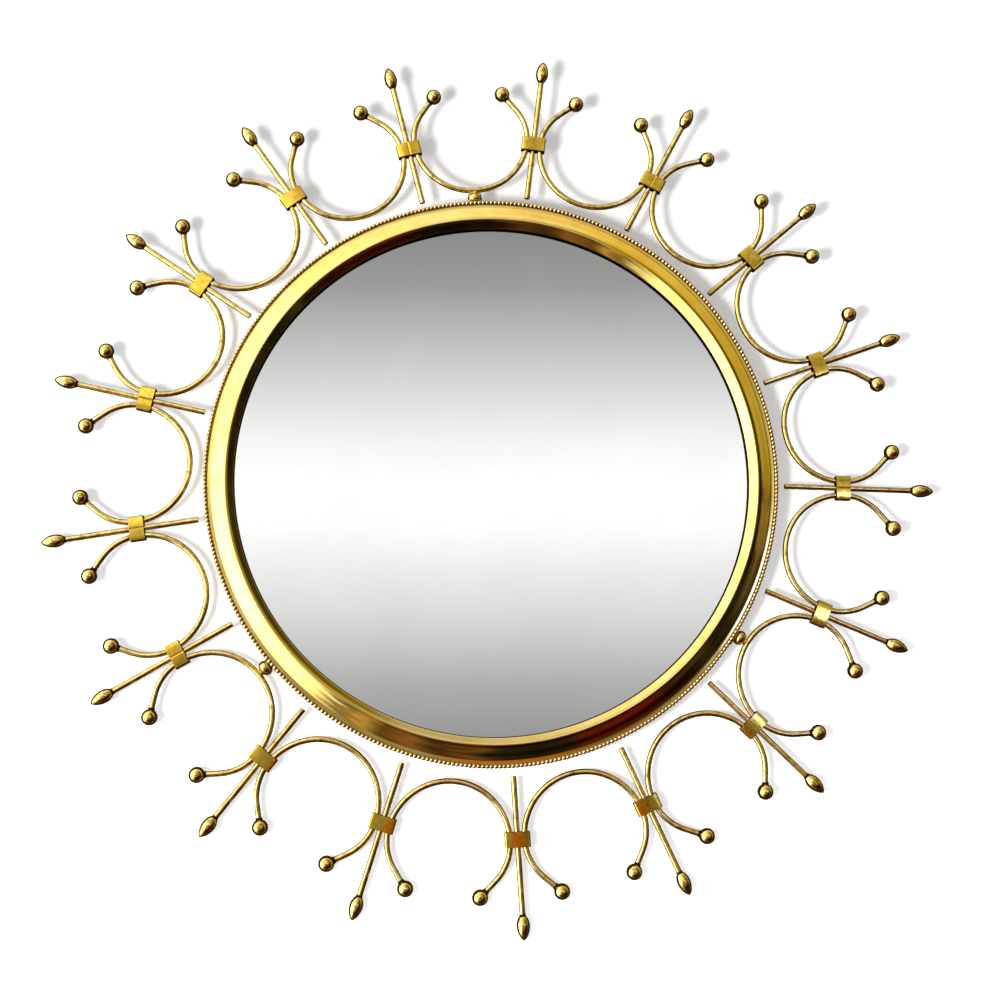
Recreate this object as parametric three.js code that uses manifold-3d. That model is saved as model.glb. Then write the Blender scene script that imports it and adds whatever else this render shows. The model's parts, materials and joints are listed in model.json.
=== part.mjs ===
// Girandole mirror: a round wall mirror in a moulded brass ring, with a wreath of bent brass rods around it.
// Millimetres, +Z up. The mirror faces -Y and hangs with its back towards +Y.
// The origin is the centre of the back board's rear face.
// The whole wreath lies in one plane, parallel to the glass.

import * as THREE from 'three';
import { mergeVertices } from 'three/addons/utils/BufferGeometryUtils.js';
import Module from 'manifold-3d';

const wasm = await Module();
wasm.setup();

// ---------- driving dimensions ----------

const FIT = 0.3; // gap that two pieces keep where one seats on the other

// glass and back board
const BOARD_THICK = 3;
const GLASS_THICK = 3;
const DISC_CLEAR = 0.8; // radial play of the glass and the board inside the skirt
const BOARD_SEAT_RADIUS = 30; // flat middle of the board's rear face

// moulded ring: a spun brass shell
const SKIRT_RADIUS = 191.2; // outside of the cylindrical skirt
const SHEET = 0.8;
const RECESS_DEPTH = 8; // from the board's rear face back to the edge that meets the wall
const BEAD_SIZE = 2.7; // diameter of the beaded wire
const BEAD_OVERHANG = 0.9; // how far the beaded wire stands out past the skirt
const COVE_WIDTH = 4.3; // hollow band inside the beaded wire
const COVE_HEIGHT = 1.9; // outer edge of the cove over the flat that carries the beaded wire
const FILLET_WIDTH = 0.5; // raised line between the cove and the main band
const FILLET_HEIGHT = 3.6;
const BAND_WIDTH = 7.4; // main band, from the raised line up to the crest
const BAND_BULGE = 0.5; // how far the main band bows out of its straight slope
const CREST_HEIGHT = 7.8;
const CREST_ROUND = 0.7; // half width of the rounded crest
const SLOPE_WIDTH = 4.3; // inner slope, from the crest down to the glass
const LIP_WIDTH = 1.8; // flat under the inner slope that bears on the glass

// tabs that stand in from the skirt and hold the board
const TABS = 8;
const TAB_WIDTH = 10;
const TAB_REACH = 9; // from the skirt's outside inwards

// wreath
const GROUPS = 17; // groups of one ray and two arch ends, and as many arches between them
const ROD_SIZE = 3.2; // diameter of every rod
const ROD_SPACING = 4.6; // centre to centre inside a collar
const WREATH_DEPTH = -4; // plane of the wreath
const STANDOFFS = 3;
const STANDOFF_HEIGHT = 8.2; // from the skirt to the arch
const STANDOFF_SIZE = 10; // greatest diameter, a little flattened between the skirt and the arch
const STANDOFF_FOOT_RADIUS = 3.3;
const STANDOFF_FOOT_THICK = 0.8;
const ARM_BEND_RADIUS = 33; // bend of an arch's arm as it leaves the collar
const ARM_BEND_ANGLE = THREE.MathUtils.degToRad(48);
const ARM_STRAIGHT = 14.5; // straight end of an arm, up to the centre of its ball
const ARM_BALL = 10.4; // ball finial
const RAY_END_GAP = 5.2; // from the beaded wire to the plain inner end of a ray
const RAY_REACH = 62.5; // from the middle of the collar to the point of the spear
const SPEAR_LENGTH = 14.8;
const SPEAR_BASE = 5.2; // diameter of the spear's flat base
const SPEAR_SIZE = 8.7; // greatest diameter
const SPEAR_SHOULDER = 5.3; // from the base to the greatest diameter
const SPEAR_BLUNTNESS = 0.72; // 0.5 would give the tip half an ellipse, and 1 a parabola

// collar: a flat brass strap folded round three rods
const COLLAR_LENGTH = 9.8;
const COLLAR_STRAP = 1.1;
const COLLAR_SIDE_GAP = 0.6; // between the strap's sides and the outer rods
const COLLAR_FLAT = 8; // width of the flat middle of its front
const COLLAR_TILT = THREE.MathUtils.degToRad(12); // how far the front's two sides lean back
const COLLAR_CORNER = 0.9; // bevel along the rear corners, outside
const COLLAR_INNER_CORNER = 0.3; // the same bevel inside

// hanger: a bracket with two ears, and a ring that swings in them
const HANGER_BELOW_EDGE = 69.6; // ring's axis under the board's top edge
const BRACKET_SHEET = 1.2;
const BRACKET_WIDTH = 16;
const BRACKET_BELOW = 6; // plate under the axis
const BRACKET_ABOVE = 18; // plate over the axis, which takes the rivets
const EAR_LENGTH = 8;
const EAR_RIM = 1.3; // brass left behind the hole in an ear
const RING_WIRE = 2.6;
const RING_WIDTH = 26; // between the centre lines of the ring's two legs
const RING_LEG = 10; // straight leg between the pivot bar and the round bow
const RING_LIFT = 0.5; // gap between the pivot bar and the plate

// smoothness
const ROUND_RING = 54; // facets round the moulded ring, the glass and the board
const ROUND_ROD = 8; // facets round a rod, a ray, the beaded wire and the hanging ring's wire
const ROUND_BALL = 8; // facets round a ball finial and a standoff
const ROUND_HOLE = 12; // facets round the holes in the bracket's ears
const ARCH_STEPS = 18; // an even number, so that one step starts at the arch's lowest point
const BOW_STEPS = 12;

// ---------- materials ----------

function metal(name, color, roughness) {
  return new THREE.MeshStandardMaterial({ name, color, metalness: 1, roughness });
}

const spunBrass = metal('polished spun brass', 0xedcb6e, 0.08);
const drawnBrass = metal('drawn brass rod', 0xe2c068, 0.1);
const rolledBrass = metal('rolled brass strap', 0xddb33c, 0.16);
const turnedBrass = metal('turned brass', 0xe6c670, 0.09);
const silveredGlass = metal('silvered glass', 0xe4e8e8, 0.03);
const hardboard = new THREE.MeshStandardMaterial({ name: 'hardboard', color: 0x6b4a2f, roughness: 0.85 });

// ---------- places that pieces share ----------

const rodRadius = ROD_SIZE / 2;
const beadRadius = BEAD_SIZE / 2;

// depths, with the front towards -Y
const glassBack = -(BOARD_THICK + FIT);
const glassFront = glassBack - GLASS_THICK;
const faceBack = glassFront - FIT; // rear side of the moulding, where it meets the glass
const seatFront = faceBack - SHEET; // front side of the flat that carries the beaded wire

// radii of the moulding, from the outside in
const discRadius = SKIRT_RADIUS - SHEET - DISC_CLEAR;
const beadOuter = SKIRT_RADIUS + BEAD_OVERHANG;
const beadCircle = beadOuter - beadRadius;
const coveOuter = beadCircle - beadRadius - FIT;
const filletOuter = coveOuter - COVE_WIDTH;
const bandOuter = filletOuter - FILLET_WIDTH;
const crest = bandOuter - BAND_WIDTH;
const sight = crest - SLOPE_WIDTH;

// Each arch is tangent to the two rays beside it, one rod spacing away from them,
// and its bottom clears the skirt by the ball of a standoff.
const halfStep = Math.PI / GROUPS;
const standoffFoot = SKIRT_RADIUS + FIT;
const archBottom = standoffFoot + STANDOFF_HEIGHT + FIT + rodRadius;
const archRadius = (archBottom * Math.sin(halfStep) - ROD_SPACING) / (1 - Math.sin(halfStep));
const collarRadius = (archBottom + archRadius) * Math.cos(halfStep);
const rayInner = beadOuter + RAY_END_GAP;
const rayTip = collarRadius + RAY_REACH;

// pivot bar of the hanging ring
const hangerHeight = discRadius - HANGER_BELOW_EDGE;
const plateBack = FIT + BRACKET_SHEET;
const pivotDepth = plateBack + RING_LIFT + RING_WIRE / 2;
const pivotHole = RING_WIRE / 2 + FIT;

// ---------- shapes ----------

// A closed geometry as a solid that can be joined and cut.
function solid(geometry) {
  const bare = geometry.clone();
  bare.deleteAttribute('normal');
  bare.deleteAttribute('uv');
  const merged = mergeVertices(bare, 1e-4);
  return new wasm.Manifold(new wasm.Mesh({
    numProp: 3,
    vertProperties: new Float32Array(merged.attributes.position.array),
    triVerts: new Uint32Array(merged.index.array),
  }));
}

function geometryOf(joined) {
  const { vertProperties, triVerts } = joined.getMesh();
  const geometry = new THREE.BufferGeometry();
  geometry.setAttribute('position', new THREE.BufferAttribute(new Float32Array(vertProperties), 3));
  geometry.setIndex(new THREE.BufferAttribute(new Uint32Array(triVerts), 1));
  geometry.computeVertexNormals();
  return geometry;
}

// Turns an outline of [radius, height] pairs round the Y axis.
// It runs anticlockwise, and either starts and ends on the axis or is closed here.
function turned(outline, facets) {
  const points = outline.map(([radius, height]) => new THREE.Vector2(radius, height));
  if (outline[0][0] > 0) {
    points.push(points[0].clone());
  }
  return new THREE.LatheGeometry(points, facets);
}

// Corners of a regular polygon, anticlockwise.
function polygon(sides, radius) {
  const corners = [];
  for (let i = 0; i < sides; i += 1) {
    const angle = ((i + 0.5) / sides) * 2 * Math.PI;
    corners.push(new THREE.Vector2(radius * Math.cos(angle), radius * Math.sin(angle)));
  }
  return corners;
}

// Centre line of a rod bent alike on both sides, in the XY plane. Each half starts at the bottom,
// heads along X and takes the runs in turn: a run is a length and the angle that it turns through.
class BentRod extends THREE.Curve {
  constructor(bottom, runs) {
    super();
    this.bottom = bottom;
    this.runs = runs;
    this.half = runs.reduce((sum, run) => sum + run.length, 0);
  }

  getPoint(t, target = new THREE.Vector3()) {
    const along = (2 * t - 1) * this.half;
    let left = Math.abs(along);
    let heading = 0;
    let x = 0;
    let y = this.bottom;
    for (const { length, turn } of this.runs) {
      const part = Math.min(left, length);
      const next = heading + turn * (part / length);
      if (turn === 0) {
        x += part * Math.cos(heading);
        y += part * Math.sin(heading);
      } else {
        x += (length / turn) * (Math.sin(next) - Math.sin(heading));
        y += (length / turn) * (Math.cos(heading) - Math.cos(next));
      }
      heading = next;
      left -= part;
    }
    return target.set(along < 0 ? -x : x, y, 0);
  }
}

function bend(radius, turn) {
  return { length: radius * turn, turn };
}

function straight(length) {
  return { length, turn: 0 };
}

function rodAlong(line, radius, steps) {
  const section = new THREE.Shape(polygon(ROUND_ROD, radius));
  return new THREE.ExtrudeGeometry(section, { steps, extrudePath: line, bevelEnabled: false });
}

// ---------- moulded ring, glass and board ----------

// Front line of the moulding as [radius, depth] pairs, from the sight edge out to the skirt's rear edge.
function mouldingLine() {
  const crestFront = seatFront - CREST_HEIGHT;
  const filletFront = seatFront - FILLET_HEIGHT;
  const coveFront = seatFront - COVE_HEIGHT;
  const line = [
    [sight, seatFront],
    [crest - CREST_ROUND, crestFront + CREST_ROUND],
    [crest, crestFront],
  ];
  const bandSteps = 3;
  for (let i = 1; i < bandSteps; i += 1) {
    const t = i / bandSteps;
    const slope = THREE.MathUtils.lerp(crestFront, filletFront, t);
    line.push([crest + BAND_WIDTH * t, slope - BAND_BULGE * Math.sin(Math.PI * t)]);
  }
  line.push([bandOuter, filletFront], [filletOuter, filletFront]);
  const coveSteps = 2;
  for (let i = 1; i <= coveSteps; i += 1) {
    const angle = (i / coveSteps) * (Math.PI / 2);
    line.push([
      filletOuter + COVE_WIDTH * (1 - Math.cos(angle)),
      THREE.MathUtils.lerp(filletFront, coveFront, Math.sin(angle)),
    ]);
  }
  line.push([coveOuter, seatFront], [SKIRT_RADIUS, seatFront], [SKIRT_RADIUS, RECESS_DEPTH]);
  return line;
}

// The line's inner corners, moved to the rear by one sheet thickness.
function rearLine(line) {
  const points = line.map(([radius, depth]) => new THREE.Vector2(radius, depth));
  const rear = [];
  for (let i = 1; i < points.length - 1; i += 1) {
    const before = points[i].clone().sub(points[i - 1]).normalize();
    const after = points[i + 1].clone().sub(points[i]).normalize();
    const normal = new THREE.Vector2(-before.y - after.y, before.x + after.x).normalize();
    const mitre = SHEET / (before.x * normal.y - before.y * normal.x);
    rear.push([points[i].x + normal.x * mitre, points[i].y + normal.y * mitre]);
  }
  return rear;
}

function frameRing() {
  const front = mouldingLine();
  const slopeAngle = Math.atan2(front[1][0] - front[0][0], front[0][1] - front[1][1]);
  const slopeFoot = sight + SHEET / Math.cos(slopeAngle);
  const outline = [
    ...front,
    [SKIRT_RADIUS - SHEET, RECESS_DEPTH],
    ...rearLine(front).reverse(),
    [slopeFoot, seatFront],
    [slopeFoot + LIP_WIDTH, seatFront],
    [slopeFoot + LIP_WIDTH, faceBack],
    [sight, faceBack],
  ];
  let ring = solid(turned(outline, ROUND_RING));
  for (let i = 0; i < TABS; i += 1) {
    const tab = new THREE.BoxGeometry(TAB_REACH - SHEET / 2, SHEET, TAB_WIDTH);
    tab.translate(SKIRT_RADIUS - (TAB_REACH + SHEET / 2) / 2, FIT + SHEET / 2, 0);
    tab.rotateY(((i + 0.5) / TABS) * 2 * Math.PI);
    ring = ring.add(solid(tab));
  }
  return geometryOf(ring);
}

function beadedRim() {
  const depth = seatFront - FIT - beadRadius;
  return turned(polygon(ROUND_ROD, beadRadius).map(({ x, y }) => [beadCircle + x, depth + y]), ROUND_RING);
}

function disc(front, back) {
  const outline = [[0, front], [discRadius, front], [discRadius, back], [BOARD_SEAT_RADIUS, back], [0, back]];
  return turned(outline, ROUND_RING);
}

// ---------- wreath ----------
// Here X runs right, Y runs out from the mirror's centre and Z runs towards the viewer.

function arch() {
  const line = new BentRod(archBottom, [
    bend(archRadius, Math.PI / 2 - halfStep),
    bend(ARM_BEND_RADIUS, ARM_BEND_ANGLE),
    straight(ARM_STRAIGHT),
  ]);
  let joined = solid(rodAlong(line, rodRadius, ARCH_STEPS));
  for (const end of [line.getPoint(0), line.getPoint(1)]) {
    const ball = new THREE.SphereGeometry(ARM_BALL / 2, ROUND_BALL, ROUND_BALL - 2);
    ball.translate(end.x, end.y, end.z);
    joined = joined.add(solid(ball));
  }
  return geometryOf(joined);
}

// A plain rod that ends in a spear: a flat base, a round shoulder and a taper to a point.
function ray() {
  const base = rayTip - SPEAR_LENGTH;
  const outline = [[0, rayInner], [rodRadius, rayInner], [rodRadius, base], [SPEAR_BASE / 2, base]];
  const shoulderSteps = 2;
  for (let i = 1; i <= shoulderSteps; i += 1) {
    const t = i / shoulderSteps;
    const swell = ((SPEAR_SIZE - SPEAR_BASE) / 2) * Math.sin((t * Math.PI) / 2);
    outline.push([SPEAR_BASE / 2 + swell, base + SPEAR_SHOULDER * t]);
  }
  const taperSteps = 3;
  for (let i = 1; i < taperSteps; i += 1) {
    const t = i / taperSteps;
    const height = THREE.MathUtils.lerp(base + SPEAR_SHOULDER, rayTip, t);
    outline.push([(SPEAR_SIZE / 2) * (1 - t * t) ** SPEAR_BLUNTNESS, height]);
  }
  outline.push([0, rayTip]);
  return turned(outline, ROUND_ROD);
}

// A strap round one ray and the arch rods beside it, which curve away from the ray towards its ends.
function collar() {
  const half = COLLAR_LENGTH / 2;
  const sway = Math.max(...[archRadius, ARM_BEND_RADIUS].map((r) => r - Math.sqrt(r * r - half * half)));
  const outerRod = ROD_SPACING + sway;
  const seat = rodRadius + FIT;
  const side = outerRod + rodRadius + COLLAR_SIDE_GAP;
  const fold = COLLAR_FLAT / 2;
  const lean = Math.tan(COLLAR_TILT);
  const flatFront = Math.max(seat, seat / Math.cos(COLLAR_TILT) + (outerRod - fold) * lean);

  // one loop of the strap, grown by an amount all round
  function loop(grown, corner) {
    const width = side + grown;
    const front = flatFront + grown;
    const sideFront = front - (width - fold) * lean;
    const back = -(seat + grown);
    return [
      [fold, front], [-fold, front], [-width, sideFront], [-width, back + corner], [-width + corner, back],
      [width - corner, back], [width, back + corner], [width, sideFront],
    ].map(([x, y]) => new THREE.Vector2(x, y));
  }

  const section = new THREE.Shape(loop(COLLAR_STRAP, COLLAR_CORNER));
  section.holes.push(new THREE.Path(loop(0, COLLAR_INNER_CORNER)));
  const strap = new THREE.ExtrudeGeometry(section, { depth: COLLAR_LENGTH, bevelEnabled: false });
  strap.rotateX(Math.PI / 2);
  strap.translate(0, collarRadius + half, 0);
  return strap;
}

// A slightly flattened ball with a small foot, between the skirt and the bottom of an arch.
function standoff() {
  const half = STANDOFF_HEIGHT / 2;
  const centre = standoffFoot + half;
  const outline = [
    [0, standoffFoot],
    [STANDOFF_FOOT_RADIUS, standoffFoot],
    [STANDOFF_FOOT_RADIUS, standoffFoot + STANDOFF_FOOT_THICK],
  ];
  const start = Math.acos((half - STANDOFF_FOOT_THICK) / half);
  const steps = 6;
  for (let i = 0; i < steps; i += 1) {
    const angle = THREE.MathUtils.lerp(start, Math.PI, i / steps);
    outline.push([(STANDOFF_SIZE / 2) * Math.sin(angle), centre - half * Math.cos(angle)]);
  }
  outline.push([0, centre + half]);
  return turned(outline, ROUND_BALL);
}

// ---------- hanger ----------

function hangerBracket() {
  const plate = new THREE.BoxGeometry(BRACKET_WIDTH, BRACKET_SHEET, BRACKET_BELOW + BRACKET_ABOVE);
  plate.translate(0, FIT + BRACKET_SHEET / 2, (BRACKET_ABOVE - BRACKET_BELOW) / 2);
  const earBack = pivotDepth + pivotHole + EAR_RIM;
  let bracket = solid(plate);
  for (const sign of [-1, 1]) {
    const ear = new THREE.BoxGeometry(BRACKET_SHEET, earBack - FIT, EAR_LENGTH);
    ear.translate((sign * (BRACKET_WIDTH - BRACKET_SHEET)) / 2, (earBack + FIT) / 2, 0);
    bracket = bracket.add(solid(ear));
  }
  const hole = new THREE.CylinderGeometry(pivotHole, pivotHole, 2 * BRACKET_WIDTH, ROUND_HOLE);
  hole.rotateZ(Math.PI / 2);
  hole.translate(0, pivotDepth, 0);
  return geometryOf(bracket.subtract(solid(hole)));
}

// A D-shaped ring. Its straight bar runs through both ears, and its bow hangs down.
function hangingRing() {
  const wire = RING_WIRE / 2;
  const bow = new BentRod(-(RING_LEG + RING_WIDTH / 2), [
    bend(RING_WIDTH / 2, Math.PI / 2),
    straight(RING_LEG),
  ]);
  const bar = new THREE.CylinderGeometry(wire, wire, RING_WIDTH + RING_WIRE, ROUND_ROD);
  bar.rotateZ(Math.PI / 2);
  return geometryOf(solid(rodAlong(bow, wire, BOW_STEPS)).add(solid(bar)));
}

// ---------- assembly ----------

const mirror = new THREE.Group();

function add(parent, name, geometry, material) {
  const mesh = new THREE.Mesh(geometry, material);
  mesh.name = name;
  parent.add(mesh);
  return mesh;
}

add(mirror, 'frame_ring', frameRing(), spunBrass);
add(mirror, 'beaded_rim', beadedRim(), turnedBrass);
add(mirror, 'mirror_glass', disc(glassFront, glassBack), silveredGlass);
add(mirror, 'back_board', disc(-BOARD_THICK, 0), hardboard);
const bracket = add(mirror, 'hanger_bracket', hangerBracket(), rolledBrass);
bracket.position.z = hangerHeight;

// X stays, Y becomes up and Z becomes towards the viewer
const ringPlane = new THREE.Group();
ringPlane.rotation.x = Math.PI / 2;
ringPlane.position.set(0, pivotDepth, hangerHeight);
mirror.add(ringPlane);
add(ringPlane, 'hanging_ring', hangingRing(), drawnBrass);

const wreath = new THREE.Group();
wreath.rotation.x = Math.PI / 2;
wreath.position.y = WREATH_DEPTH;
mirror.add(wreath);

// A group turned clockwise from the top, as the wreath is seen from the front.
function spoke(turns) {
  const group = new THREE.Group();
  group.rotation.z = -turns * 2 * Math.PI;
  wreath.add(group);
  return group;
}

const archShape = arch();
const rayShape = ray();
const collarShape = collar();
for (let i = 0; i < GROUPS; i += 1) {
  const number = String(i + 1).padStart(2, '0');
  add(spoke(i / GROUPS), `arch_${number}`, archShape, drawnBrass);
  const between = spoke((i + 0.5) / GROUPS);
  add(between, `ray_${number}`, rayShape, drawnBrass);
  add(between, `collar_${number}`, collarShape, rolledBrass);
}

// The first standoff is at the top, and each stands under the arch nearest to its even place.
const standoffShape = standoff();
for (let i = 0; i < STANDOFFS; i += 1) {
  const nearestArch = Math.round((i * GROUPS) / STANDOFFS);
  add(spoke(nearestArch / GROUPS), `standoff_${i + 1}`, standoffShape, turnedBrass);
}

export default mirror;
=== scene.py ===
"""Looks of a girandole mirror: a round mirror in a spun brass ring, with a wreath of bent brass rods.

Shapes are made in millimetres, in the frame of the CAD model: the mirror faces -Y and +Z is up.
A piece turns to metres when it is finished.
"""
import json
import math

import bmesh
import bpy
from mathutils import Matrix, Vector, noise


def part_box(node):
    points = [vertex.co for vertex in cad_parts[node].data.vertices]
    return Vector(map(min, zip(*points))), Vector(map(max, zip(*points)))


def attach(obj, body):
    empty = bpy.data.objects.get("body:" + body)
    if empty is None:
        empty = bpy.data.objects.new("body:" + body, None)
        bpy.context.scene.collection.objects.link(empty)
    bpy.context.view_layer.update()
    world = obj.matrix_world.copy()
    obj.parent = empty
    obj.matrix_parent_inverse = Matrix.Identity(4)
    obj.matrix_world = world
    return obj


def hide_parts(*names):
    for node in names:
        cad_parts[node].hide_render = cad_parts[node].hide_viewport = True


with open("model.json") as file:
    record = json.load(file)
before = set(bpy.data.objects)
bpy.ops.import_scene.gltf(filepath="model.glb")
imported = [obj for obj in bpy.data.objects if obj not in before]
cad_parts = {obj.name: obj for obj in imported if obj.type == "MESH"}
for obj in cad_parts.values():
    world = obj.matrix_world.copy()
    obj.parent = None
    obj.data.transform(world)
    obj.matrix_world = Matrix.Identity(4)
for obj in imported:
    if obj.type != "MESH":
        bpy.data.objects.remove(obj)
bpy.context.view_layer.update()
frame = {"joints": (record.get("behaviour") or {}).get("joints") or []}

MM = 0.001
PHOTO_WIDTH, PHOTO_HEIGHT = 994, 995

# ---------- sizes, in millimetres ----------


def box_mm(node):
    """Lowest and highest corner of a CAD node."""
    low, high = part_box(node)
    return low / MM, high / MM


ring_low, ring_high = box_mm("frame_ring")
SKIRT_RADIUS = ring_high.z
CREST_DEPTH = ring_low.y
WALL_EDGE = ring_high.y
CREST_HEIGHT = 7.8  # over the flat seat that carries the beaded wire
CREST_INSET = 14.3  # how far in from the skirt's outside the crest lies
CREST_ROUNDING = 0.7
BAND_BULGE = 0.35
SEAT_DEPTH = CREST_DEPTH + CREST_HEIGHT
TABS = 8
TAB_WIDTH, TAB_REACH, TAB_ROUNDING = 10, 9, 1.5
SHEET = 0.8  # thickness of the ring's sheet and of its tabs
GLASS_RADIUS = box_mm("mirror_glass")[1].z
GLASS_FRONT = box_mm("mirror_glass")[0].y
GLASS_BACK = box_mm("mirror_glass")[1].y
GLASS_GRIND = 0.2  # ground edge of the glass
GLASS_INDEX = 1.52
BOARD_FRONT = box_mm("back_board")[0].y
BOARD_EDGE_FRONT, BOARD_EDGE_BACK = 0.4, 0.6  # broken edges of the board

# ray 9 points straight down, and its collar with it
ray_low, ray_high = box_mm("ray_09")
RAY_TIP = -ray_low.z
RAY_INNER = -ray_high.z
collar_low, collar_high = box_mm("collar_09")
COLLAR_RADIUS = -(collar_low.z + collar_high.z) / 2
COLLAR_LENGTH = collar_high.z - collar_low.z
COLLAR_HALF_WIDTH = collar_high.x
WREATH_DEPTH = -4
COLLAR_FRONT = WREATH_DEPTH - collar_low.y
COLLAR_BACK = WREATH_DEPTH - collar_high.y
STRAP = 1.1  # thickness, and rounding of its folds
STRAP_FLAT = 8  # flat middle of a collar's front
STRAP_SHORT = 0.3  # the nearly black filling inside, painted shade of the hollow between strap and rods, stands this much out of the strap, both ends together
STRAP_LEAN = math.tan(math.radians(3))
SEAM_WIDTH, SEAM_DEPTH = 1.7, 0.22  # shallow valley where the strap's ends meet
SEAMED = (2, 5, 12, 13, 14, 17)  # collars with this seam in front: the others have it behind

GROUPS = 17
HALF_STEP = math.pi / GROUPS
ROD = 3.2
ROD_DRAWN = 3.7  # the rods measure thicker on the photo than in the CAD model
ROD_SIDES = 16
BEAD = 2.7
BEADS = 432
BEAD_STRETCH = 1.2  # pressed beads run into each other: each is longer than its share of the wire
BEAD_CORE = 0.92
BEAD_CIRCLE = SKIRT_RADIUS - 0.45
BEAD_DEPTH = SEAT_DEPTH - 0.3 - BEAD / 2

STANDOFF_FOOT = box_mm("standoff_1")[0].z
STANDOFF_HEIGHT = box_mm("standoff_1")[1].z - STANDOFF_FOOT
STANDOFF_SIZE = 2 * box_mm("standoff_1")[1].x
ARCH_BOTTOM = STANDOFF_FOOT + STANDOFF_HEIGHT + 0.3 + ROD / 2
ROD_SPACING = 4.6
ARCH_RADIUS = (ARCH_BOTTOM * math.sin(HALF_STEP) - ROD_SPACING) / (1 - math.sin(HALF_STEP))
ARM_BEND_RADIUS = 33
ARM_BEND = math.radians(48)
ARM_STRAIGHT = 14.5
ARM_BALL = 10.4
SPEAR_LENGTH = 14.8
SPEAR_BASE = 5.2
SPEAR_SIZE = 8.7
SPEAR_SHOULDER = 5.3
SPEAR_BLUNTNESS = 0.72

bracket_low, bracket_high = box_mm("hanger_bracket")
swing = frame["joints"][0]
PIVOT = Vector(swing["pos_m"]) / MM
RING_WIRE = 2.6
RING_HALF_WIDTH = 13
RING_LEG = 10
RING_CORNER = 2.2
BRACKET_SHEET = 1.2
BRACKET_ROUNDING = 2
EAR_HALF_HEIGHT = 4
EAR_FOOT = 0.3
EAR_ROUNDING = 1.6
EAR_HOLE = 1.6  # radius
RIVETS = (8.5, 14.5)  # heights over the ring's pivot

# ---------- materials ----------


def linear(hex_colour):
    """An sRGB hex colour as linear red, green, blue and alpha."""
    parts = [int(hex_colour[i:i + 2], 16) / 255 for i in (1, 3, 5)]
    return [c / 12.92 if c <= 0.04045 else ((c + 0.055) / 1.055) ** 2.4 for c in parts] + [1]


def add_node(tree, kind, inputs=None, stops=None, **settings):
    """Adds a node with its settings. An input is a value or a socket to link from, and stops fill a ramp."""
    node = tree.nodes.new(kind)
    for name, value in settings.items():
        setattr(node, name, value)
    for name, value in (inputs or {}).items():
        if isinstance(value, bpy.types.NodeSocket):
            tree.links.new(value, node.inputs[name])
        else:
            node.inputs[name].default_value = value
    if stops:
        elements = node.color_ramp.elements
        while len(elements) < len(stops):
            elements.new(1)
        for element, (place, colour) in zip(elements, stops):
            element.position = place
            element.color = colour
    return node


def new_material(name):
    material = bpy.data.materials.new(name)
    material.use_nodes = True
    material.node_tree.nodes.clear()
    return material


def grey(value):
    return [value, value, value, 1]


def brass(name, stain, body, bright, blotch, roughness, wave, wave_height, lines=0.0):
    """A brass whose colour drifts in soft blotches, and whose surface is not quite even.

    blotch and wave are sizes in millimetres, wave_height a height in millimetres,
    and lines is how strongly turning lines round the mirror's axis show in the polish.
    """
    material = new_material(name)
    tree = material.node_tree
    place = add_node(tree, "ShaderNodeTexCoord").outputs["Object"]
    drift = add_node(tree, "ShaderNodeTexNoise", {
        "Vector": place, "Scale": 1 / (blotch * MM), "Detail": 5, "Roughness": 0.62})
    colour = add_node(tree, "ShaderNodeValToRGB", {"Fac": drift.outputs["Fac"]}, stops=[
        (0.28, linear(stain)), (0.47, linear(body)), (0.7, linear(bright))])
    haze = add_node(tree, "ShaderNodeTexNoise", {
        "Vector": place, "Scale": 1 / (blotch * 0.35 * MM), "Detail": 3})
    polish = add_node(tree, "ShaderNodeMapRange", {
        "Value": haze.outputs["Fac"], "From Min": 0.3, "From Max": 0.7,
        "To Min": roughness * 0.7, "To Max": roughness * 1.4})
    rough = polish.outputs["Result"]
    swell = add_node(tree, "ShaderNodeTexNoise", {
        "Vector": place, "Scale": 1 / (wave * MM), "Detail": 2})
    height = swell.outputs["Fac"]
    if lines:
        # radius and depth of a point, which stay the same along a line left by the turning tool;
        # real lines are under 0.1 mm apart and are drawn 0.9 mm apart so that they show
        spot = add_node(tree, "ShaderNodeSeparateXYZ", {"Vector": place})
        flat = add_node(tree, "ShaderNodeCombineXYZ", {
            "X": spot.outputs["X"], "Y": spot.outputs["Z"]})
        radius = add_node(tree, "ShaderNodeVectorMath", {0: flat.outputs["Vector"]}, operation="LENGTH")
        turned_place = add_node(tree, "ShaderNodeCombineXYZ", {
            "X": radius.outputs["Value"], "Y": spot.outputs["Y"]})
        turning = add_node(tree, "ShaderNodeTexNoise", {
            "Vector": turned_place.outputs["Vector"], "Scale": 1 / (0.9 * MM), "Detail": 3})
        more = add_node(tree, "ShaderNodeMath", {
            0: turning.outputs["Fac"], 1: lines * roughness, 2: rough}, operation="MULTIPLY_ADD")
        rough = more.outputs["Value"]
        both = add_node(tree, "ShaderNodeMath", {
            0: turning.outputs["Fac"], 1: lines * 0.25, 2: height}, operation="MULTIPLY_ADD")
        height = both.outputs["Value"]
    bump = add_node(tree, "ShaderNodeBump", {
        "Height": height, "Distance": wave_height * MM, "Strength": 1})
    shader = add_node(tree, "ShaderNodeBsdfPrincipled", {
        "Base Color": colour.outputs["Color"], "Metallic": 1, "Roughness": rough,
        "Normal": bump.outputs["Normal"]})
    add_node(tree, "ShaderNodeOutputMaterial", {"Surface": shader.outputs["BSDF"]})
    return material


# brass sheet spun over a form and polished: mirror-like, with faint lines round the ring and a few stains
spun_brass = brass("polished spun brass", "#E3BD60", "#EDCB6E", "#F2D683", 22, 0.07, 14, 0.04, lines=0.5)
# pressed beaded brass wire: small bright highlights, rosier where the lacquer has worn
beaded_brass = brass("pressed beaded brass", "#C9A060", "#E4C48A", "#F2DBAA", 6, 0.14, 3, 0.02)
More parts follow.
